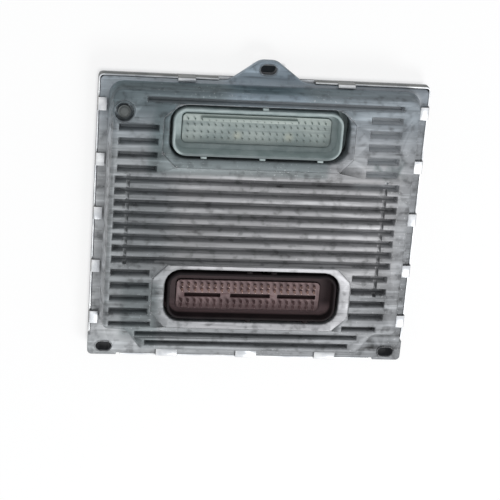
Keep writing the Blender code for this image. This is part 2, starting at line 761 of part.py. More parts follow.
def pin(x, y, width, top):
    """One contact: a square pin drawn to a point."""
    form = bmesh.new()
    bmesh.ops.create_cube(form, size=1.0)
    foot = CARRIER_TOP - 0.6 * MM
    shoulder = top - 1.3 * MM
    bmesh.ops.scale(form, vec=(width, width, shoulder - foot), verts=form.verts)
    bmesh.ops.translate(form, vec=(x, y, (shoulder + foot) / 2), verts=form.verts)
    ends = [face for face in form.faces if face.normal.z > 0.9]
    poked = bmesh.ops.poke(form, faces=ends)
    bmesh.ops.translate(form, vec=(0, 0, top - shoulder), verts=poked["verts"])
    return mesh_object("pin", form)


def carrier_slots(middle):
    slots = []
    for left, right in SLOTS:
        size = (right - left, SLOT_OPENING)
        place = (middle[0] + (left + right) / 2, middle[1] + SLOT_SHIFT)
        shape = rectangle(place, size, 0.6 * MM, steps=2)
        slots.append(slab("slot", shape, CARRIER_TOP - SLOT_DEPTH, 20 * MM))
    return gather("carrier_slots", slots)


def make_pin_block(name, carrier, contacts, parts, cutters, material):
    middle = carrier[0]
    block = slab(name, rectangle(*carrier, CARRIER_CORNER), ON_BOARD, CARRIER_TOP)
    if name.startswith("lower"):
        cut(block, carrier_slots(middle), cutters)
    else:
        join(block, box("ledge", LEDGE_LOW, LEDGE_HIGH), cutters)
    width, top, rows = contacts
    first = middle[0] - PIN_PITCH * (PIN_COLUMNS - 1) / 2
    pins = [
        pin(first + column * PIN_PITCH, middle[1] + row, width, top)
        for row in rows
        for column in range(PIN_COLUMNS)
    ]
    join(block, gather(name + "_pins", pins), cutters)
    return finish(block, parts, material)


# Vent


def make_vent(parts, cap_material, membrane_material):
    floor = VENT_POCKET_FLOOR + GAP
    stem = VENT_HOLE_RADIUS - GAP
    foot = CEILING - 1.2 * MM
    head = 3.5 * MM
    profile = [
        (0.0, FIN_TOP - 0.4 * MM),
        (head - 0.8 * MM, FIN_TOP - 0.4 * MM),
        (head, FIN_TOP - 1.0 * MM),
        (head, floor),
        (stem, floor),
        (stem, foot + GAP),
        (0.0, foot + GAP),
    ]
    cap = turned("vent_cap", profile, VENT_CENTRE)
    finish(cap, parts, cap_material, 30)
    disc = cylinder("vent_membrane", VENT_CENTRE, 3.6 * MM, foot - 0.6 * MM, foot, 20)
    finish(disc, parts, membrane_material)


# Board and what it carries


def make_board(parts, cutters, material):
    board = slab("circuit_board", body_outline(-WALL - 1.4 * MM), BOARD_BOTTOM, BOARD_TOP)
    holes = [
        cylinder("screw_hole", centre, PILOT_RADIUS, 5 * MM, 15 * MM, 12) for centre in board_posts()
    ]
    cut(board, gather("board_holes", holes), cutters)
    return finish(board, parts, material)


def make_screws(parts, material):
    top = UNDER_BOARD
    profile = [
        (0.0, ON_BOARD + SCREW_DEPTH),
        (SCREW_RADIUS - 0.5 * MM, ON_BOARD + SCREW_DEPTH),
        (SCREW_RADIUS, ON_BOARD + SCREW_DEPTH - 0.8 * MM),
        (SCREW_RADIUS, top),
        (SCREW_HEAD_RADIUS, top),
        (SCREW_HEAD_RADIUS, top - SCREW_HEAD_HEIGHT * 0.6),
        (SCREW_HEAD_RADIUS - 0.7 * MM, top - SCREW_HEAD_HEIGHT),
        (0.0, top - SCREW_HEAD_HEIGHT),
    ]
    for number, centre in enumerate(board_posts(), 1):
        screw = turned(f"board_screw_{number}", profile, centre, 16)
        finish(screw, parts, material, 30)


def place_block(name, x, y, size, bottom, parts, material, bevel=0.25 * MM):
    low = (x - size[0] / 2, y - size[1] / 2, bottom)
    high = (x + size[0] / 2, y + size[1] / 2, bottom + size[2])
    return finish(box(name, low, high, bevel), parts, material)


def make_components(parts, chip, pad, metal, can):
    for number, x in enumerate(DRIVER_X, 1):
        place_block(f"driver_chip_{number}", x, COMPONENT_Y, DRIVER_SIZE, ON_BOARD, parts, chip)
        bottom = ON_BOARD + DRIVER_SIZE[2] + GAP
        size = (14 * MM, 14 * MM, PAD_THICKNESS)
        place_block(f"thermal_pad_{number}", x, COMPONENT_Y, size, bottom, parts, pad, 0.15 * MM)
    coil_size = (9.6 * MM, 9.6 * MM, 4.6 * MM)
    place_block("power_inductor", 69.0 * MM, 22.0 * MM, coil_size, ON_BOARD, parts, chip, 0.8 * MM)

    def under(name, x, size, material):
        place_block(name, x, COMPONENT_Y, size, UNDER_BOARD - size[2], parts, material)

    under("processor", 0.0, (24 * MM, 24 * MM, 1.6 * MM), chip)
    under("memory_chip", 26 * MM, (12 * MM, 18 * MM, 1.2 * MM), chip)
    under("crystal", 40 * MM, (3.2 * MM, 5 * MM, 1.1 * MM), metal)
    for number, x in enumerate((-46 * MM, -34 * MM), 1):
        top = UNDER_BOARD
        profile = [
            (0.0, top),
            (3.8 * MM, top),
            (4.0 * MM, top - 0.4 * MM),
            (4.0 * MM, top - 1.0 * MM),
            (3.7 * MM, top - 1.3 * MM),
            (4.0 * MM, top - 1.6 * MM),
            (4.0 * MM, top - 5.0 * MM),
            (3.5 * MM, top - 5.4 * MM),
            (0.0, top - 5.4 * MM),
        ]
        capacitor = turned(f"bulk_capacitor_{number}", profile, (x, COMPONENT_Y), 20)
        finish(capacitor, parts, can, 30)


def main():
    clear_scene()
    parts = new_collection("engine_control_unit")
    cutters = new_collection("cutters", hidden=True)

    cast = make_material("cast_aluminium", (0.42, 0.43, 0.45), 0.5, 0.9)
    sheet = make_material("sheet_aluminium", (0.75, 0.76, 0.78), 0.35, 1.0)
    rubber = make_material("seal_rubber", (0.03, 0.03, 0.03), 0.8)
    grey = make_material("grey_plastic", (0.38, 0.43, 0.40), 0.5)
    black = make_material("black_plastic", (0.02, 0.018, 0.02), 0.45)
    mauve = make_material("mauve_plastic", (0.14, 0.10, 0.10), 0.5)
    green = make_material("board_green", (0.03, 0.16, 0.07), 0.5)
    steel = make_material("zinc_steel", (0.6, 0.6, 0.58), 0.35, 1.0)
    pad = make_material("thermal_pad", (0.25, 0.32, 0.45), 0.9)
    membrane = make_material("membrane", (0.8, 0.8, 0.8), 0.9)

    make_housing(parts, cutters, cast)
    make_back_cover(parts, cutters, sheet)
    outer, inner = body_outline(0.6 * MM), body_outline(-1.8 * MM)
    make_ring("cover_seal", outer, inner, FLANGE_BOTTOM, 7.2 * MM, parts, cutters, rubber)

    upper_ribs = [(-33.6 * MM, -1), (-1.2 * MM, -1), (31.1 * MM, -1), (-1.4 * MM, 1)]
    lower_ribs = [(-2.2 * MM, -1), (30.9 * MM, -1), (-3.0 * MM, 1), (10.8 * MM, 1)]
    headers = [
        ("upper", OPENINGS[0], UPPER_SHROUD, UPPER_CARRIER, UPPER_PINS, upper_ribs, grey, grey),
        ("lower", OPENINGS[1], LOWER_SHROUD, LOWER_CARRIER, LOWER_PINS, lower_ribs, black, mauve),
    ]
    for place, opening, shroud, carrier, contacts, ribs, shell, plate in headers:
        make_header(f"{place}_header", opening, shroud, carrier, ribs, parts, cutters, shell)
        make_pin_block(f"{place}_pin_block", carrier, contacts, parts, cutters, plate)
        outer = rectangle(*opening, OPENING_CORNER, COLLAR_WALL)
        inner = rectangle(*opening, OPENING_CORNER)
        bottom = HEADER_BASE_TOP + GAP
        top = bottom + SEAL_THICKNESS
        make_ring(f"{place}_header_seal", outer, inner, bottom, top, parts, cutters, rubber)

    make_vent(parts, black, membrane)
    make_board(parts, cutters, green)
    make_screws(parts, steel)
    make_components(parts, black, pad, steel, steel)


main()
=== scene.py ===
# %% [markdown]
# # A finned engine control unit
# The unit is a flat aluminium casting with cooling fins. Two headers full of contact pins are sunk in
# its front, and a sheet cover is folded over its edge all round. The CAD model gives every piece its
# size and place. This lesson loads it, places a camera, gives each surface its finish, and ends with
# the table and the light.

import math

import bmesh
import bpy
from mathutils import Matrix, Vector


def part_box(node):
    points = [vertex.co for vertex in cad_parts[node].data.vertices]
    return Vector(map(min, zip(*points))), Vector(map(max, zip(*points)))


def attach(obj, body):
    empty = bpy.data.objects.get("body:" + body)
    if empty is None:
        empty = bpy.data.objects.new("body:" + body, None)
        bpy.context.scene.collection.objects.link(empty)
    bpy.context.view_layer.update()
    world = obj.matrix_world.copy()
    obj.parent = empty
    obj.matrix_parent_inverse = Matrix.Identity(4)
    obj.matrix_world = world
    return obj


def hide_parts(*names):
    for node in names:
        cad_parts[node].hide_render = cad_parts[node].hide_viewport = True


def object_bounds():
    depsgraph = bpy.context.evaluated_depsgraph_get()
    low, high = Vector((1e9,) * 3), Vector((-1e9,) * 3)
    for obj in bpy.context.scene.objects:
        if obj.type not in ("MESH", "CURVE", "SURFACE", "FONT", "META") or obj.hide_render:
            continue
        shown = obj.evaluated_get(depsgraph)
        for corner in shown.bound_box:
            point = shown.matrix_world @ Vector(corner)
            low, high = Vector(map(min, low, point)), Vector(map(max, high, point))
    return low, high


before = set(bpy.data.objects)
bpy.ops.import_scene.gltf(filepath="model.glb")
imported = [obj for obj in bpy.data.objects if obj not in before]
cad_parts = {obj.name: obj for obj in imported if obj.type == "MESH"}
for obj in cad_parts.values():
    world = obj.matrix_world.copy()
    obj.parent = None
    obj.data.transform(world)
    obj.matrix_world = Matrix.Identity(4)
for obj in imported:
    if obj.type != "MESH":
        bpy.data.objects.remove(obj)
cad_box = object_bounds()
MM = 0.001
print("CAD box in mm:", [[round(value / MM, 1) for value in corner] for corner in cad_box])

# %% [markdown]
# ## The camera
# The photograph was taken from a little above the ear end, with the unit turned a few degrees. The
# angles below were worked out from the straight edges of the flange. A camera's own matrix is the
# inverse of the one that brings the world in front of it, so the view is written as the easier of the
# two and then inverted.

# %% Place the camera
VIEW_TILT = 0.37725
VIEW_YAW = 0.11376
VIEW_TURN = -0.07565
VIEW_SHIFT = (2.055 * MM, 19.319 * MM)
VIEW_DISTANCE = 915.36 * MM
PHOTO_SIDE = 500
FOCAL_PIXELS = 1600
SENSOR_WIDTH = 36

view = (
    Matrix.Translation((*VIEW_SHIFT, -VIEW_DISTANCE))
    @ Matrix.Rotation(VIEW_TILT, 4, "X")
    @ Matrix.Rotation(VIEW_YAW, 4, "Y")
    @ Matrix.Rotation(VIEW_TURN, 4, "Z")
)
camera_data = bpy.data.cameras.new("photo_camera")
camera_data.sensor_width = SENSOR_WIDTH
camera_data.lens = FOCAL_PIXELS / PHOTO_SIDE * SENSOR_WIDTH
camera = bpy.data.objects.new("photo_camera", camera_data)
bpy.context.scene.collection.objects.link(camera)
camera.matrix_world = view.inverted()
bpy.context.scene.camera = camera
bpy.context.scene.view_settings.view_transform = "Standard"
print("camera at", [round(value, 3) for value in camera.matrix_world.translation])

# %% [markdown]
# ## Shader maths
# A material's patterns are sums and products of sockets. Wrapping a socket in a small class lets them
# be written as ordinary expressions: each operator adds one Math node.


# %% A value that varies
class Value:
    """A number that varies over a surface."""

    def __init__(self, nodes, socket):
        self.nodes = nodes
        self.socket = socket

    def maths(self, operation, first, second=0.0):
        """One Math node on two values or numbers."""
        made = self.nodes.node("ShaderNodeMath", {"operation": operation}, {0: first, 1: second})
        return Value(self.nodes, made.outputs[0])

    def __add__(self, other):
        return self.maths("ADD", self, other)

    def __sub__(self, other):
        return self.maths("SUBTRACT", self, other)

    def __rsub__(self, other):
        return self.maths("SUBTRACT", other, self)

    def __mul__(self, other):
        return self.maths("MULTIPLY", self, other)

    def __abs__(self):
        return self.maths("ABSOLUTE", self)

    def at_least(self, other):
        """This value or the other, whichever is larger."""
        return self.maths("MAXIMUM", self, other)

    __radd__ = __add__
    __rmul__ = __mul__


# %% [markdown]
# Every other node comes from one method, which sets the node up before it fills its sockets. The
# material of a piece and the world behind it are both made of nodes, so they share that method. A
# Light Path node tells which rays see the white background.


# %% Nodes of a material or of the world
class Nodes:
    """The nodes of a material or of the world."""

    def __init__(self, tree):
        self.tree = tree

    def fill(self, socket, value):
        """Links a value or an output to the socket, or sets a constant on it."""
        if isinstance(value, Value):
            value = value.socket
        if isinstance(value, bpy.types.NodeSocket):
            self.tree.links.new(value, socket)
        else:
            socket.default_value = value

    def node(self, kind, settings=None, inputs=None):
        made = self.tree.nodes.new(kind)
        for name, value in (settings or {}).items():
            setattr(made, name, value)
        for name, value in (inputs or {}).items():
            self.fill(made.inputs[name], value)
        return made

    def camera_rays(self):
        """1 for rays straight from the camera."""
        return Value(self, self.node("ShaderNodeLightPath").outputs["Is Camera Ray"])

    def background_rays(self):
        """1 for rays that see the white background: from the camera, off metal or through glass."""
        path = self.node("ShaderNodeLightPath").outputs
        mirrored = Value(self, path["Is Glossy Ray"])
        through = Value(self, path["Is Transmission Ray"])
        return mirrored.at_least(through).at_least(Value(self, path["Is Camera Ray"]))


# %% [markdown]
# A finish is a material with a handful of patterns to choose from. Noise gives clouds and streaks,
# Ambient Occlusion finds grooves, the Bevel node finds edges, and a soft rectangle marks a place on the
# front. All of them read Object coordinates, so they stay on the piece from every side.


# %% A finish and its patterns
class Finish(Nodes):
    """A procedural material. Its patterns read Object coordinates, in metres."""

    def __init__(self, name, constants):
        self.material = bpy.data.materials.new(name)
        self.material.use_nodes = True
        super().__init__(self.material.node_tree)
        self.shader = self.tree.nodes["Principled BSDF"]
        for socket, value in constants.items():
            self.shader.inputs[socket].default_value = value
        self.place = self.node("ShaderNodeTexCoord").outputs["Object"]

    def noise(self, size, detail=3.0, along_x=1.0):
        """Cloudy noise from 0 to 1, with patches of about this size, drawn out where along_x is small."""
        inputs = {"Vector": self.place, "Scale": (along_x, 1.0, 1.0)}
        mapping = self.node("ShaderNodeMapping", None, inputs)
        inputs = {"Vector": mapping.outputs[0], "Scale": 1 / size, "Detail": detail}
        return Value(self, self.node("ShaderNodeTexNoise", None, inputs).outputs[0])

    def crevice(self, reach):
        """1 deep in a groove or corner and 0 on open faces."""
        settings = {"samples": 8, "only_local": True}
        made = self.node("ShaderNodeAmbientOcclusion", settings, {"Distance": reach})
        return 1.0 - Value(self, made.outputs["AO"])

    def edges(self, radius):
        """1 along sharp edges that stand out, where a finish wears first."""
        rounded = self.node("ShaderNodeBevel", {"samples": 6}, {"Radius": radius}).outputs[0]
        true = self.node("ShaderNodeNewGeometry").outputs["Normal"]
        settings = {"operation": "DOT_PRODUCT"}
        agree = self.node("ShaderNodeVectorMath", settings, {0: rounded, 1: true}).outputs["Value"]
        return self.ramp(1.0 - Value(self, agree), 0.01, 0.18)

    def axis(self, name):
        split = self.node("ShaderNodeSeparateXYZ", None, {"Vector": self.place})
        return Value(self, split.outputs[name])

    def facing_up(self):
        """1 where the surface looks straight up or down, and 0 on an upright wall."""
        normal = self.node("ShaderNodeNewGeometry").outputs["True Normal"]
        split = self.node("ShaderNodeSeparateXYZ", None, {"Vector": normal})
        return abs(Value(self, split.outputs["Z"]))

    def area(self, middle, half, soft):
        """1 in a rectangle of the front and 0 outside it, with an edge that fades."""
        within_x, within_y = [
            1.0 - self.ramp(abs(self.axis(name) - centre), reach, reach + soft)
            for name, centre, reach in zip("XY", middle, half)
        ]
        return within_x * within_y

    def ramp(self, value, low, high):
        """0 below low, 1 above high, and smooth between them."""
        settings = {"interpolation_type": "SMOOTHSTEP"}
        inputs = {"Value": value, "From Min": low, "From Max": high}
        return Value(self, self.node("ShaderNodeMapRange", settings, inputs).outputs[0])

    def mix(self, amount, first, second, blend="MIX"):
        """Colour first where amount is 0, and colour second where it is 1."""
        first, second = [
            (*colour, 1.0) if isinstance(colour, tuple) else colour for colour in (first, second)
        ]
        settings = {"data_type": "RGBA", "blend_type": blend}
        return self.node("ShaderNodeMix", settings, {0: amount, 6: first, 7: second}).outputs[2]

    def shade(self, colour, factor):
        """The colour made lighter or darker by a factor."""
        made = self.node("ShaderNodeVectorMath", {"operation": "SCALE"}, {0: colour, "Scale": factor})
        return made.outputs["Vector"]

    def feed(self, name, value):
        self.fill(self.shader.inputs[name], value)

    def bump(self, height, depth, strength):
        inputs = {"Height": height, "Distance": depth, "Strength": strength}
        self.feed("Normal", self.node("ShaderNodeBump", None, inputs).outputs[0])


# %% [markdown]
# ## Working by hand
# The CAD nodes are plain solids with sharp edges. Where a surface is seen closely, a finer piece takes
# the node's place. Some are a copy of the node whose edges are rounded, as a die, a mould or a press
# leaves them. A CAD mesh is loose triangles, so the copy is merged and its flat faces are joined
# before a bevel can follow its edges. The other pieces are built up from a primitive in edit mode.

# %% Helpers for hand work
BEVEL_ANGLE = math.radians(32)
SMOOTH_ANGLE = math.radians(35)
FLAT_ANGLE = math.radians(1)
MERGE_DISTANCE = 0.01 * MM


def deselect():
    if bpy.context.object and bpy.context.object.mode != "OBJECT":
        bpy.ops.object.mode_set(mode="OBJECT")
    bpy.ops.object.select_all(action="DESELECT")


def pick(piece):
    deselect()
    piece.select_set(True)
    bpy.context.view_layer.objects.active = piece


def settle(piece):
    """Puts the object at the origin, unturned and unscaled, with its place in its mesh."""
    pick(piece)
    bpy.ops.object.transform_apply(location=True, rotation=True, scale=True)


def apply_modifiers(piece):
    pick(piece)
    for modifier in list(piece.modifiers):
        bpy.ops.object.modifier_apply(modifier=modifier.name)


def round_edges(piece, width, segments=2):
    """A narrow bevel on every edge sharper than the bevel angle, applied, and smooth shading."""
    rounding = piece.modifiers.new("rounding", "BEVEL")
    rounding.width = width
    rounding.segments = segments
    rounding.limit_method = "ANGLE"
    rounding.angle_limit = BEVEL_ANGLE
    rounding.use_clamp_overlap = False
    rounding.harden_normals = True
    apply_modifiers(piece)
    bpy.ops.object.shade_smooth_by_angle(angle=SMOOTH_ANGLE)


def edit(piece, mode="FACE"):
    """Enters edit mode with nothing selected, and gives the mesh to pick faces or edges from."""
    pick(piece)
    bpy.ops.object.mode_set(mode="EDIT")
    bpy.ops.mesh.select_mode(type=mode)
    bpy.ops.mesh.select_all(action="DESELECT")
    return bmesh.from_edit_mesh(piece.data)


def select_where(form, kind, test):
    """Selects the faces or edges that pass the test."""
    for item in getattr(form, kind):
        item.select_set(test(item))
    form.select_flush_mode()


def edit_top(piece):
    """Enters edit mode with the upper face selected."""
    select_where(edit(piece), "faces", lambda face: face.normal.z > 0.9)


def stand_for(piece, node_name, finish):
    """Gives a finished piece its material and its body, and hides the node that it replaces."""
    piece.data.materials.clear()
    piece.data.materials.append(finish.material)
    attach(piece, "root")
    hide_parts(node_name)
    print(piece.name, "stands for", node_name, "with", len(piece.data.polygons), "faces")


def rounded_copy(node_name, piece_name, width):
    """A merged copy of a CAD node whose sharp edges are rounded."""
    piece = bpy.data.objects.new(piece_name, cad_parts[node_name].data.copy())
    bpy.context.scene.collection.objects.link(piece)
    edit(piece, "VERT")
    bpy.ops.mesh.select_all(action="SELECT")
    bpy.ops.mesh.remove_doubles(threshold=MERGE_DISTANCE)
    bpy.ops.mesh.dissolve_limited(angle_limit=FLAT_ANGLE)
    bpy.ops.mesh.quads_convert_to_tris(quad_method="BEAUTY", ngon_method="BEAUTY")
    round_edges(piece, width)
    return piece


# %% [markdown]
# ## Cast aluminium
# A die casting is dull grey with a soft mottle, and years by the engine leave darker clouds on it. The
# noises below run from those clouds down to the grain of the skin. Two of them are drawn out along the
# fins, as streaks and scratches. The grey is a little paler to the right, and most so on the fins.

# %% Cast aluminium: patterns and base colour
DARK_CAST = (0.245, 0.26, 0.27)
PALE_CAST = (0.27, 0.28, 0.293)
FIN_GREY = (0.43, 0.418, 0.422)

cast = Finish("cast_aluminium", {"Metallic": 0.3, "Specular IOR Level": 0.4})
across, along, height = [cast.axis(name) for name in "XYZ"]
clouds = cast.noise(38 * MM, 4.0)
mottle = cast.noise(5 * MM, 5.0)
streaks = cast.noise(9 * MM, 4.0, 0.1)
scratches = cast.noise(2.4 * MM, 3.0, 0.07)
specks = cast.noise(1.1 * MM, 2.0)
grain = cast.noise(0.5 * MM, 3.0)
paler = cast.ramp(across + (clouds - 0.5) * (60 * MM), -88 * MM, 30 * MM)
grey = cast.mix(paler, DARK_CAST, PALE_CAST)
fins = cast.area((14 * MM, 2 * MM), (55 * MM, 27 * MM), 16 * MM)
grey = cast.mix(fins * 0.4, grey, FIN_GREY)
print("cast aluminium: patterns and base colour")

# %% [markdown]
# The flange lies low. Painted light makes it pale at the left, and the left wall too, where the body
# shades them from the lamp, and painted shade makes it dark at the right, where the lamp falls. The
# raised frame of the lower header gets painted light, and that of the upper one is sooty at its left.
# Painted light also makes a narrow bright strip along the shaded flank above the lower header. Height
# tells the flange and the frames from the faces beside them, and soft masks in millimetres do the rest.

# %% Cast aluminium: flange and frames
FLANGE_PAINTED_LIGHT = (0.52, 0.535, 0.55)
FLANGE_PAINTED_SHADE = (0.20, 0.21, 0.222)
FRAME_PAINTED_LIGHT = (0.52, 0.52, 0.54)
FLANK_PAINTED_LIGHT = (0.66, 0.66, 0.68)
FRAME_SOOT = (0.14, 0.145, 0.155)

above_flange = cast.ramp(height, 12.4 * MM, 13.6 * MM)
flange = 1.0 - above_flange
left_wall = 1.0 - cast.ramp(across, -85.2 * MM, -83.4 * MM)
bottom_corners = 1.0 - cast.ramp(along, -78 * MM, -66 * MM)
# Painted light on the left flange and left wall, which the body shades from the lamp, and painted shade
# on the right flange, where the lamp falls.
rim = flange.at_least(left_wall) * (0.8 - bottom_corners * 0.45)
rim_painted_light_and_shade = cast.mix(cast.ramp(across, -70 * MM, 60 * MM), FLANGE_PAINTED_LIGHT, FLANGE_PAINTED_SHADE)
grey = cast.mix(rim, grey, rim_painted_light_and_shade)

raised = cast.ramp(height, 24.7 * MM, 25.1 * MM)
lower_frame = raised * (1.0 - cast.ramp(along, -12 * MM, -8 * MM))
lower_frame = lower_frame * (0.1 + cast.ramp(across, -60 * MM, -20 * MM) * 0.9)
# Painted light on the top of the raised lower frame, strongest towards the lamp.
grey = cast.mix(lower_frame * 0.8, grey, FRAME_PAINTED_LIGHT)
# Painted light on the flank above the lower header, which lies in shade.
flank_painted_light = cast.area((-0.9 * MM, -19.7 * MM), (56 * MM, 0.8 * MM), 0.3 * MM)
flank_painted_light = flank_painted_light * cast.ramp(height, 20.5 * MM, 23 * MM)
grey = cast.mix(flank_painted_light * 0.9, grey, FLANK_PAINTED_LIGHT)
upper_frame = raised * cast.ramp(along, 0.0, 10 * MM) * (1.0 - cast.ramp(across, 15 * MM, 60 * MM))
grey = cast.mix(upper_frame * 0.85, grey, FRAME_SOOT)
print("cast aluminium: flange and frames")

# %% [markdown]
# The upper part is stained dark and a little green, most at the left and round the upper header. The
# top wall faces away from the lamp and gets the same dark colour as painted shade. The ear and the
# flange are cleaner. The stains and that painted shade are one mask, the largest of several soft
# areas, so where two of them meet they don't add up to black.

# %% Cast aluminium: dark stains, and painted shade on the top wall
GREEN_BLACK = (0.105, 0.135, 0.140)
COOL_TINT = (0.92, 0.99, 1.05)
EAR_TINT = (0.97, 1.06, 1.12)

stain_and_painted_shade = cast.ramp(along + (clouds - 0.5) * (30 * MM), 50 * MM, 72 * MM)
stain_and_painted_shade = stain_and_painted_shade * (0.75 - cast.ramp(across, -10 * MM, 90 * MM) * 0.6)
ear = cast.area((0, 88 * MM), (16 * MM, 10 * MM), 12 * MM)
stain_and_painted_shade = stain_and_painted_shade * (1.0 - ear * 0.7)
beside_header = cast.area((-54 * MM, 58 * MM), (5 * MM, 16 * MM), 8 * MM)
above_header = cast.area((-30 * MM, 71 * MM), (48 * MM, 2.6 * MM), 2.5 * MM)
below_header = cast.area((-14 * MM, 37 * MM), (48 * MM, 3 * MM), 4 * MM)
stain_and_painted_shade = stain_and_painted_shade.at_least(beside_header * 0.85).at_least(above_header * 0.5)
stain_and_painted_shade = stain_and_painted_shade.at_least(below_header * 0.7) * (1.0 - flange * 0.85)
# Painted shade: the top wall faces away from the lamp and gets the stains' dark green colour.
top_wall_painted_shade = cast.ramp(along, 78.4 * MM, 79.2 * MM) * above_flange
stain_and_painted_shade = stain_and_painted_shade.at_least(top_wall_painted_shade * (0.95 - cast.ramp(across, 0.0, 90 * MM) * 0.5))
smear = cast.area((70 * MM, 39 * MM), (6 * MM, 3 * MM), 6 * MM) * cast.ramp(mottle, 0.35, 0.6)
low_left = cast.area((-64 * MM, -52 * MM), (8 * MM, 17 * MM), 5 * MM)
stain_and_painted_shade = stain_and_painted_shade.at_least(smear * 0.6).at_least(low_left * 0.5)
grey = cast.mix(stain_and_painted_shade, grey, GREEN_BLACK)
grey = cast.mix(cast.ramp(along, 35 * MM, 75 * MM), grey, COOL_TINT, "MULTIPLY")
grey = cast.mix(ear, grey, EAR_TINT, "MULTIPLY")
print("cast aluminium: stains")

# %% [markdown]
# Bright streaks and dark scratches run along the fins. The edges of the fins are rubbed bright, and
# small flecks of clean metal show in the paler clouds. Streaks scale the colour that is there, because
# they are a change of the same metal, while rubbed metal has a colour of its own.

# %% Cast aluminium: streaks, rubbed edges and flecks
RUBBED_METAL = (0.66, 0.67, 0.69)
CLEAN_FLECK = (0.70, 0.71, 0.72)

lines = 0.72 + cast.ramp(streaks, 0.42, 0.68) * 0.36 + cast.ramp(scratches, 0.55, 0.72) * 0.35
lines = lines - cast.ramp(mottle, 0.5, 0.7) * 0.31 - cast.ramp(1.0 - scratches, 0.55, 0.72) * 0.27
# Painted shade darkens the lower right, where the lamp falls most.
lamp_side_painted_shade = cast.ramp(across, 55 * MM, 75 * MM) * cast.ramp(along * -1.0, 12 * MM, 35 * MM)
grey = cast.shade(grey, lines - lamp_side_painted_shade * 0.2)
rubbed = cast.edges(0.5 * MM) * cast.ramp(mottle, 0.3, 0.6)
grey = cast.mix(rubbed * 0.6, grey, RUBBED_METAL)
flecks = cast.ramp(specks, 0.64, 0.72) * cast.ramp(clouds, 0.42, 0.6)
grey = cast.mix(flecks * 0.3, grey, CLEAN_FLECK)
print("cast aluminium: streaks, rubbed edges and flecks")

# %% [markdown]
# Painted shade darkens the grooves, the deeper the darker. At the upper right and along the top groove
# they get painted light instead and look pale. The walls of the bolt holes are painted black below the
# flange's face, as painted shade. The housing itself is a rounded copy of its node, since a casting has
# no sharp edge.

# %% Cast aluminium: grooves and bolt holes, and the housing
PAINTED_GROOVE_LIGHT = (0.46, 0.48, 0.50)
PAINTED_SHADE_COLOUR = (0.045, 0.048, 0.055)
BOLT_HOLES = [(0.1 * MM, 89.4 * MM), (-82.8 * MM, -77.9 * MM), (82.8 * MM, -77.9 * MM)]
HOLE_HALF = (4.7 * MM, 3.0 * MM)

deep = cast.crevice(7 * MM)
top_groove = cast.ramp(along, 65 * MM, 67 * MM)
top_groove = top_groove * (0.6 + cast.ramp(across, -40 * MM, 20 * MM) * 0.4)
upper_right = cast.area((68 * MM, 50 * MM), (14 * MM, 20 * MM), 6 * MM)
# Painted light makes the grooves pale at the upper right and along the top groove, against their own
# shade.
painted_light_zone = upper_right.at_least(top_groove * 0.8)
grey = cast.mix(cast.ramp(deep, 0.1, 0.5) * painted_light_zone * 0.75, grey, PAINTED_GROOVE_LIGHT)
# Painted shade, darker deep in the grooves.
painted_shade = cast.ramp(deep, 0.35, 0.95) * (1.0 - painted_light_zone) * 0.35
# Painted shade: the walls of the bolt holes are painted black below the flange's face.
below_face = 1.0 - cast.ramp(height, 11.0 * MM, 11.6 * MM)
for middle in BOLT_HOLES:
    painted_shade = painted_shade.at_least(cast.area(middle, HOLE_HALF, 0.4 * MM) * below_face)
cast.feed("Base Color", cast.mix(painted_shade, grey, PAINTED_SHADE_COLOUR))
cast.feed("Roughness", 0.45 + mottle * 0.2 + painted_shade * 0.2)
cast.bump(mottle * 0.5 + grain * 0.3 + specks * 0.2, 0.12 * MM, 0.5)

casting = rounded_copy("housing", "rounded_housing", 0.3 * MM)
stand_for(casting, "housing", cast)

# %% [markdown]
# ## Sheet aluminium
# The cover is pressed from rolled sheet, so it is smoother than the casting. Its upright walls get
# painted shade, dull and brownish, darkest on the top wall, which faces away from the lamp. The
# upward faces of the tabs that are folded over the flange get painted light and shine. The direction
# that a face looks in tells one from the other.

# %% Sheet aluminium
SHADED_WALL_DARK = (0.15, 0.15, 0.15)
SHADED_WALL_PALE = (0.34, 0.33, 0.32)
TOP_WALL_DEEP_SHADE = (0.13, 0.14, 0.135)
LIT_TAB_DULL = (0.62, 0.64, 0.67)
LIT_TAB_BRIGHT = (0.90, 0.91, 0.92)
ROLLED_STREAK = (0.46, 0.48, 0.51)

sheet = Finish("sheet_aluminium", {"Metallic": 0.45})
smears = sheet.noise(9 * MM, 4.0)
rolled = sheet.noise(2.5 * MM, 3.0, 0.08)
smeared = sheet.ramp(smears, 0.35, 0.65)
# Painted shade on the upright walls, darkest on the top wall, which faces away from the lamp.
wall = sheet.mix(smeared, SHADED_WALL_DARK, SHADED_WALL_PALE)
wall = sheet.mix(sheet.ramp(sheet.axis("Y"), 79 * MM, 82 * MM) * 0.7, wall, TOP_WALL_DEEP_SHADE)
tab = sheet.mix(smeared, LIT_TAB_DULL, LIT_TAB_BRIGHT)
tab = sheet.mix(sheet.ramp(rolled, 0.45, 0.7) * 0.35, tab, ROLLED_STREAK)
# Faces that look up take the painted light, and upright walls take the painted shade.
folded = sheet.ramp(sheet.facing_up(), 0.45, 0.85)
sheet.feed("Base Color", sheet.mix(folded, wall, tab))
sheet.feed("Roughness", 0.3 + smears * 0.2)
sheet.bump(rolled, 0.03 * MM, 0.4)

cover = rounded_copy("back_cover", "rounded_cover", 0.12 * MM)
stand_for(cover, "back_cover", sheet)

# %% [markdown]
# ## Header shrouds
# The upper header is moulded in pale grey-green and the lower one in near black. Moulded plastic has
# soft edges, cloudy dust and fine specks. The rims stay smooth, so the bump is slight. The upper
# shroud has a line of painted shade along its lower edge. The lower one gets painted light deep
# inside, brownish as if reflected from its carrier.


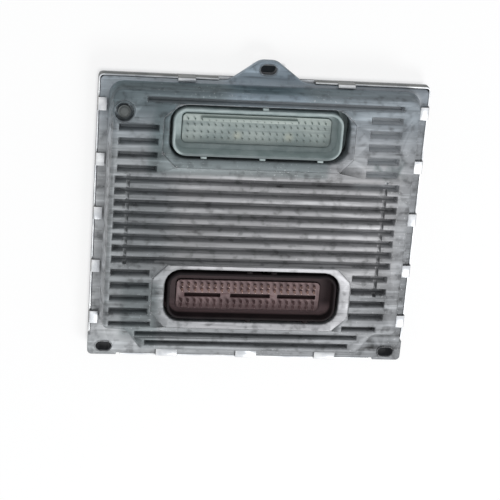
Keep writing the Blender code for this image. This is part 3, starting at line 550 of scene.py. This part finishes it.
# %% Header shrouds
def plastic(name, dark, light, dust, roughness, gloss=0.3):
    """A matt moulded plastic that is cloudy and dusty, and its colour, which isn't fed yet."""
    finish = Finish(name, {"Specular IOR Level": gloss})
    cloud = finish.noise(8 * MM, 4.0)
    worn = finish.mix(finish.ramp(cloud, 0.3, 0.7), dark, light)
    dusty = finish.ramp(finish.noise(1.3 * MM, 3.0), 0.55, 0.8)
    finish.feed("Roughness", roughness + cloud * 0.15)
    finish.bump(finish.noise(0.6 * MM), 0.03 * MM, 0.4)
    return finish, finish.mix(dusty * 0.4, worn, dust)


grey_plastic, colour = plastic(
    "grey_plastic", (0.27, 0.33, 0.33), (0.37, 0.43, 0.43), (0.5, 0.54, 0.52), 0.45
)
shroud_y = grey_plastic.axis("Y")
# Painted shade in a dark line along the upper shroud's lower edge.
painted_lower_edge = grey_plastic.ramp(shroud_y, 42.3 * MM, 42.6 * MM)
painted_lower_edge = painted_lower_edge * (1.0 - grey_plastic.ramp(shroud_y, 43.6 * MM, 44.3 * MM))
grey_plastic.feed("Base Color", grey_plastic.mix(painted_lower_edge * 0.8, colour, (0.11, 0.13, 0.135)))

black_plastic, colour = plastic(
    "black_plastic", (0.006, 0.004, 0.005), (0.012, 0.008, 0.009), (0.02, 0.014, 0.014), 0.6, 0.15
)
# Painted light deep inside, in the carrier's brownish colour as if reflected from it, mostly on the lower
# wall.
inside_painted_bounce = 1.0 - black_plastic.ramp(black_plastic.axis("Z"), 17 * MM, 21 * MM)
lower_wall = 1.0 - black_plastic.ramp(black_plastic.axis("Y"), -50 * MM, -44 * MM) * 0.8
black_plastic.feed("Base Color", black_plastic.mix(inside_painted_bounce * lower_wall, colour, (0.21, 0.15, 0.155)))

upper_shroud = rounded_copy("upper_header", "upper_shroud", 0.25 * MM)
stand_for(upper_shroud, "upper_header", grey_plastic)
lower_shroud = rounded_copy("lower_header", "lower_shroud", 0.25 * MM)
stand_for(lower_shroud, "lower_header", black_plastic)

# %% [markdown]
# ## Carriers
# Each header's contacts stand in a moulded carrier. It starts as a cube of the carrier's size. Its
# upright edges are bevelled, and its top is inset and pushed down a little, which leaves a low rim.

# %% Carrier blanks
CARRIER_TOP = 16.9 * MM
CARRIER_BOTTOM = 10.4 * MM
CARRIER_CORNER = 2.7 * MM
RIM_WIDTH = 0.7 * MM
RECESS = 0.25 * MM
UPPER_MIDDLE = (-4.4 * MM, 56.3 * MM)
UPPER_SIDES = (82.4 * MM, 16.4 * MM)
LOWER_MIDDLE = (-2.05 * MM, -42.0 * MM)
LOWER_SIDES = (82.4 * MM, 17.4 * MM)


def block(name, low, high):
    """A cube stretched from one corner to the other, at the origin."""
    deselect()
    middle = [(a + b) / 2 for a, b in zip(low, high)]
    sides = [b - a for a, b in zip(low, high)]
    bpy.ops.mesh.primitive_cube_add(size=1.0, location=middle, scale=sides)
    piece = bpy.context.object
    piece.name = name
    settle(piece)
    return piece


def round_corners(piece, radius, segments):
    """Bevels the upright edges of a block."""
    form = edit(piece, "EDGE")
    select_where(form, "edges", lambda edge: abs(edge.verts[0].co.z - edge.verts[1].co.z) > 1 * MM)
    bpy.ops.mesh.bevel(offset=radius, segments=segments, affect="EDGES")


def step_in(width, rise):
    """Insets the selected face and lifts it, or lowers it where the rise is negative."""
    bpy.ops.mesh.inset(thickness=width)
    bpy.ops.transform.translate(value=(0, 0, rise))


def carrier_blank(name, middle, sides):
    """A block with rounded corners and a shallow recess in its top."""
    low = (middle[0] - sides[0] / 2, middle[1] - sides[1] / 2, CARRIER_BOTTOM)
    high = (middle[0] + sides[0] / 2, middle[1] + sides[1] / 2, CARRIER_TOP)
    piece = block(name, low, high)
    round_corners(piece, CARRIER_CORNER, 6)
    edit_top(piece)
    step_in(RIM_WIDTH, -RECESS)
    deselect()
    print(name, len(piece.data.polygons), "faces")
    return piece


upper_carrier = carrier_blank("upper_carrier", UPPER_MIDDLE, UPPER_SIDES)
lower_carrier = carrier_blank("lower_carrier", LOWER_MIDDLE, LOWER_SIDES)

# %% [markdown]
# The lower carrier has three slots in a row, for the tongues of the plug. A block with rounded corners
# stands for each tongue and is cut away from the carrier with a Boolean modifier, which is easier than
# building a slot from the carrier's own faces.

# %% Slots of the lower carrier
SLOT_SPANS = [(-36.5 * MM, -15.7 * MM), (-10.2 * MM, 12.8 * MM), (16.9 * MM, 39.2 * MM)]
SLOT_Y = LOWER_MIDDLE[1] - 0.6 * MM
SLOT_HALF = 1.3 * MM
SLOT_DEPTH = 3.2 * MM
SLOT_CORNER = 0.6 * MM


def cut_away(piece, cutter):
    """Takes the cutter's shape out of the piece, and removes the cutter."""
    cutting = piece.modifiers.new("cutting", "BOOLEAN")
    cutting.operation = "DIFFERENCE"
    cutting.solver = "EXACT"
    cutting.object = cutter
    apply_modifiers(piece)
    bpy.data.objects.remove(cutter)


for left, right in SLOT_SPANS:
    low = (LOWER_MIDDLE[0] + left, SLOT_Y - SLOT_HALF, CARRIER_TOP - SLOT_DEPTH)
    high = (LOWER_MIDDLE[0] + right, SLOT_Y + SLOT_HALF, CARRIER_TOP + 1 * MM)
    tongue = block("tongue_space", low, high)
    round_corners(tongue, SLOT_CORNER, 3)
    cut_away(lower_carrier, tongue)
print("lower carrier with slots:", len(lower_carrier.data.polygons), "faces")

# %% [markdown]
# The upper carrier has a raised ledge above its contacts. It is a low block whose upper edges are
# bevelled, and it is joined to the carrier once the contacts are in.

# %% Ledge of the upper carrier
ledge = block("ledge", (-35.0 * MM, 60.8 * MM, 16.4 * MM), (18.0 * MM, 62.9 * MM, 18.3 * MM))
form = edit(ledge, "EDGE")
select_where(form, "edges", lambda edge: min(vertex.co.z for vertex in edge.verts) > 18 * MM)
bpy.ops.mesh.bevel(offset=0.3 * MM, segments=3, affect="EDGES")
deselect()
print("ledge:", len(ledge.data.polygons), "faces")

# %% [markdown]
# ## Contacts
# A contact is a square pin that tapers to a blunt point and stands in a small collar, where the plastic
# was moulded round it. One is made from a cube: its top is extruded and scaled in for the point, and
# its foot is widened and extruded down for the collar. The others are copies, each with its own mesh.

# %% One contact and its copies
PIN_COLUMNS = 21
PIN_PITCH = 3.8 * MM
POINT_LENGTH = 1.2 * MM
POINT_SCALE = 0.4
COLLAR_SCALE = 1.9
COLLAR_RISE = 0.2 * MM
COLLAR_DEPTH = 0.4 * MM
CARRIER_FACE = CARRIER_TOP - RECESS
UPPER_ROWS = [5.2 * MM, 2.0 * MM, -2.0 * MM, -5.2 * MM]
LOWER_ROWS = [6.1 * MM, 3.0 * MM, -3.9 * MM, -6.6 * MM]


def extrude(rise):
    """Extrudes the selected face straight up, or down where the rise is negative."""
    bpy.ops.mesh.extrude_region_move(TRANSFORM_OT_translate={"value": (0, 0, rise)})


def contact(width, top):
    """One contact at the origin of the front, with its collar."""
    half = width / 2
    foot = CARRIER_FACE + COLLAR_RISE
    piece = block("contact", (-half, -half, foot), (half, half, top - POINT_LENGTH))
    edit_top(piece)
    extrude(POINT_LENGTH)
    bpy.ops.transform.resize(value=(POINT_SCALE, POINT_SCALE, 1.0))
    select_where(edit(piece), "faces", lambda face: face.normal.z < -0.9)
    bpy.ops.transform.resize(value=(COLLAR_SCALE, COLLAR_SCALE, 1.0))
    extrude(-COLLAR_DEPTH)
    deselect()
    return piece


def plant_contacts(carrier, middle, width, top, rows):
    """Copies the contact to every place and joins them to the carrier."""
    first = middle[0] - PIN_PITCH * (PIN_COLUMNS - 1) / 2
    pattern = contact(width, top)
    copies = []
    for row in rows:
        for column in range(PIN_COLUMNS):
            copied = bpy.data.objects.new("contact_copy", pattern.data.copy())
            bpy.context.scene.collection.objects.link(copied)
            copied.location = (first + column * PIN_PITCH, middle[1] + row, 0)
            copies.append(copied)
    bpy.data.objects.remove(pattern)
    pick(carrier)
    for copied in copies:
        copied.select_set(True)
    bpy.ops.object.join()
    print(carrier.name, "has", len(copies), "contacts")


plant_contacts(upper_carrier, UPPER_MIDDLE, 0.4 * MM, 19.4 * MM, UPPER_ROWS)
plant_contacts(lower_carrier, LOWER_MIDDLE, 0.75 * MM, 20.9 * MM, LOWER_ROWS)
pick(upper_carrier)
ledge.select_set(True)
bpy.ops.object.join()
for piece in (upper_carrier, lower_carrier):
    round_edges(piece, 0.06 * MM, 1)

# %% [markdown]
# Both carriers are cloudy, with thin streaks along them. The upper one is as pale as its shroud, its
# ledge gets a painted highlight, and it has two yellowed spots. Its contacts are painted light, so
# that they hardly stand out. A contact is told from the carrier by its height.


# %% Finish of the upper carrier
def streaked(finish, cloud, dark, light, streak, strength):
    """A cloudy colour with thin streaks along the carrier."""
    colour = finish.mix(finish.ramp(cloud, 0.3, 0.7), dark, light)
    thin = finish.noise(1.6 * MM, 3.0, 0.06)
    return finish.mix(finish.ramp(thin, 0.5, 0.68) * strength, colour, streak)


def spot(finish, place, reach):
    """1 at a place on the front, fading to 0 at this distance."""
    inputs = {0: finish.place, 1: (*place, CARRIER_TOP)}
    away = finish.node("ShaderNodeVectorMath", {"operation": "DISTANCE"}, inputs).outputs["Value"]
    return 1.0 - finish.ramp(Value(finish, away), 0.0, reach)


pale = Finish("pale_carrier", {"Specular IOR Level": 0.3})
cloud = pale.noise(7 * MM, 4.0, 0.3)
colour = streaked(pale, cloud, (0.22, 0.265, 0.26), (0.33, 0.375, 0.36), (0.16, 0.19, 0.19), 0.5)
# Painted highlight along the ledge.
ledge_painted_highlight = pale.ramp(pale.axis("Y"), 60.2 * MM, 61.0 * MM)
colour = pale.mix(ledge_painted_highlight * 0.6, colour, (0.44, 0.49, 0.46))
yellowed = spot(pale, (-15 * MM, 53 * MM), 4 * MM).at_least(spot(pale, (13.5 * MM, 53 * MM), 4 * MM))
colour = pale.mix(yellowed * 0.5, colour, (0.46, 0.47, 0.38))
# The contacts are painted light, so that their shaded sides look as light as the carrier's face.
metal = pale.ramp(pale.axis("Z"), CARRIER_TOP + 0.2 * MM, CARRIER_TOP + 0.6 * MM)
metal = metal * (1.0 - pale.ramp(pale.axis("Y"), 60.5 * MM, 60.7 * MM))
pale.feed("Base Color", pale.mix(metal * 0.8, colour, (0.60, 0.63, 0.60)))
pale.feed("Metallic", metal * 0.1)
pale.feed("Roughness", 0.5 - metal * 0.1)
stand_for(upper_carrier, "upper_pin_block", pale)

# %% [markdown]
# The lower carrier is mauve-brown, with coppery contacts above its slots, painted lighter to offset
# their shaded sides. Painted light makes it paler along its lower edge, where the shroud's lower wall
# shades it, and painted shade makes it nearly black down in the slots.

# %% Finish of the lower carrier
mauve = Finish("mauve_carrier", {"Specular IOR Level": 0.3})
cloud = mauve.noise(8 * MM, 4.0)
colour = streaked(mauve, cloud, (0.13, 0.085, 0.088), (0.20, 0.135, 0.137), (0.24, 0.17, 0.17), 0.3)
# Painted light along the lower edge, where the shroud's lower wall shades the carrier.
painted_lower_edge = 1.0 - mauve.ramp(mauve.axis("Y"), -48.5 * MM, -45 * MM)
colour = mauve.mix(painted_lower_edge * 0.6, colour, (0.33, 0.23, 0.232))
# Painted shade makes the slots nearly black.
slot_painted_shade = 1.0 - mauve.ramp(mauve.axis("Z"), CARRIER_TOP - 1.5 * MM, CARRIER_TOP - 0.5 * MM)
colour = mauve.mix(slot_painted_shade * 0.9, colour, (0.022, 0.008, 0.009))
# The coppery contacts are painted lighter, to offset their shaded sides.
metal = mauve.ramp(mauve.axis("Z"), CARRIER_TOP + 0.3 * MM, CARRIER_TOP + 0.8 * MM)
metal = metal * mauve.ramp(mauve.axis("Y"), -42.0 * MM, -41.0 * MM)
mauve.feed("Base Color", mauve.mix(metal, colour, (0.68, 0.50, 0.44)))
mauve.feed("Metallic", metal * 0.15)
mauve.feed("Roughness", 0.5 - metal * 0.15)
stand_for(lower_carrier, "lower_pin_block", mauve)

# %% [markdown]
# ## Vent cap
# The disc at the upper left covers the hole that lets the housing breathe. It is a cylinder whose top
# is inset and sunk, and inset again and raised, as a push-in cap with a ring groove is.

# %% Vent cap
VENT_FOOT = 21 * MM
VENT_DOME = 0.1 * MM

vent_low, vent_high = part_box("vent_cap")
vent_top = vent_high.z - VENT_DOME
vent_middle = ((vent_low.x + vent_high.x) / 2, (vent_low.y + vent_high.y) / 2)
deselect()
bpy.ops.mesh.primitive_cylinder_add(
    vertices=40,
    radius=(vent_high.x - vent_low.x) / 2,
    depth=vent_top - VENT_FOOT,
    location=(*vent_middle, (vent_top + VENT_FOOT) / 2),
)
vent = bpy.context.object
vent.name = "vent_disc"
settle(vent)
edit_top(vent)
step_in(0.7 * MM, -0.5 * MM)
step_in(0.6 * MM, 0.5 * MM)
step_in(0.8 * MM, VENT_DOME)
round_edges(vent, 0.12 * MM)
sooty, colour = plastic(
    "sooty_plastic", (0.05, 0.055, 0.055), (0.10, 0.11, 0.11), (0.16, 0.17, 0.17), 0.5
)
sooty.feed("Base Color", colour)
stand_for(vent, "vent_cap", sooty)

# %% [markdown]
# ## Table
# The unit lies on a white table. The lamp and the sky give about as much light as makes a colour look
# the way that it is written, so the table shows white by its own colour. It also glows for the rays
# that see the background, away from the unit, which keeps the picture's corners white and leaves the
# shadow beside the unit. The table gets painted shade where the unit covers it and under the ear, so
# that the bolt holes look into a dark gap. It is clear from below, as a glass table is, so that the
# back cover can be looked at too.

# %% Table
WHITE = (0.93, 0.93, 0.93)
UNDER_UNIT_PAINTED_SHADE = (0.05, 0.055, 0.06)

deselect()
bpy.ops.mesh.primitive_plane_add(size=6.0, location=(0, 0, cad_box[0].z))
floor = bpy.context.object
floor.name = "floor"

table = Finish("white_table", {"Roughness": 0.9, "Specular IOR Level": 0.1})
# Painted shade on the table under the unit and under the ear, so that the bolt holes look dark.
under_body = table.area((0, 0), (84 * MM, 79 * MM), 3 * MM)
under_ear = table.area((1.6 * MM, 86.7 * MM), (3.6 * MM, 1.8 * MM), 2.0 * MM)
covered = under_body.at_least(under_ear)
table.feed("Base Color", table.mix(covered, WHITE, UNDER_UNIT_PAINTED_SHADE))

near_body = table.area((0, 0), (89 * MM, 79.5 * MM), 5 * MM)
near_ear = table.area((1.6 * MM, 84 * MM), (7.5 * MM, 4.5 * MM), 2.5 * MM)
glowing = table.background_rays() * (1.0 - near_body.at_least(near_ear)) * 0.85
glow = table.node("ShaderNodeEmission", None, {"Strength": 1.0}).outputs[0]
inputs = {0: glowing, 1: table.shader.outputs[0], 2: glow}
lit = table.node("ShaderNodeMixShader", None, inputs).outputs[0]

from_below = Value(table, table.node("ShaderNodeNewGeometry").outputs["Backfacing"])
opening = from_below.at_least(covered * (1.0 - table.camera_rays()))
clear = table.node("ShaderNodeBsdfTransparent").outputs[0]
glass = table.node("ShaderNodeMixShader", None, {0: opening, 1: lit, 2: clear}).outputs[0]
table.fill(table.tree.nodes["Material Output"].inputs["Surface"], glass)
floor.data.materials.append(table.material)
print("table at", round(cad_box[0].z / MM, 2), "mm")

# %% [markdown]
# ## Light
# The sky lights the unit evenly from all round, and the rays that see the background find plain white
# in its place. One large square lamp stands to the lower right of the front, as seen in the picture,
# and gives the fins a bright and a dark side.

# %% Sky and background
SKY_STRENGTH = 0.62

world = bpy.data.worlds.new("studio")
bpy.context.scene.world = world
world.use_nodes = True
studio = Nodes(world.node_tree)
sky = studio.tree.nodes["Background"]
studio.fill(sky.inputs["Color"], (0.97, 0.985, 1, 1))
studio.fill(sky.inputs["Strength"], SKY_STRENGTH)
backdrop = studio.node("ShaderNodeBackground", None, {"Color": (1, 1, 1, 1), "Strength": 1.0})
inputs = {0: studio.background_rays(), 1: sky.outputs[0], 2: backdrop.outputs[0]}
choice = studio.node("ShaderNodeMixShader", None, inputs)
studio.fill(studio.tree.nodes["World Output"].inputs["Surface"], choice.outputs[0])
print("sky strength", SKY_STRENGTH)

# %% Key lamp
LAMP_PLACE = Vector((0.62, -0.86, 1.2))
LAMP_SIDE = 0.6
LAMP_POWER = 15.8

lamp = bpy.data.lights.new("key", "AREA")
lamp.shape = "SQUARE"
lamp.size = LAMP_SIDE
lamp.energy = LAMP_POWER
key = bpy.data.objects.new("key", lamp)
bpy.context.scene.collection.objects.link(key)
key.location = LAMP_PLACE
key.rotation_euler = (-LAMP_PLACE).to_track_quat("-Z", "Y").to_euler()
print("key lamp of", LAMP_POWER, "watts at", list(LAMP_PLACE))
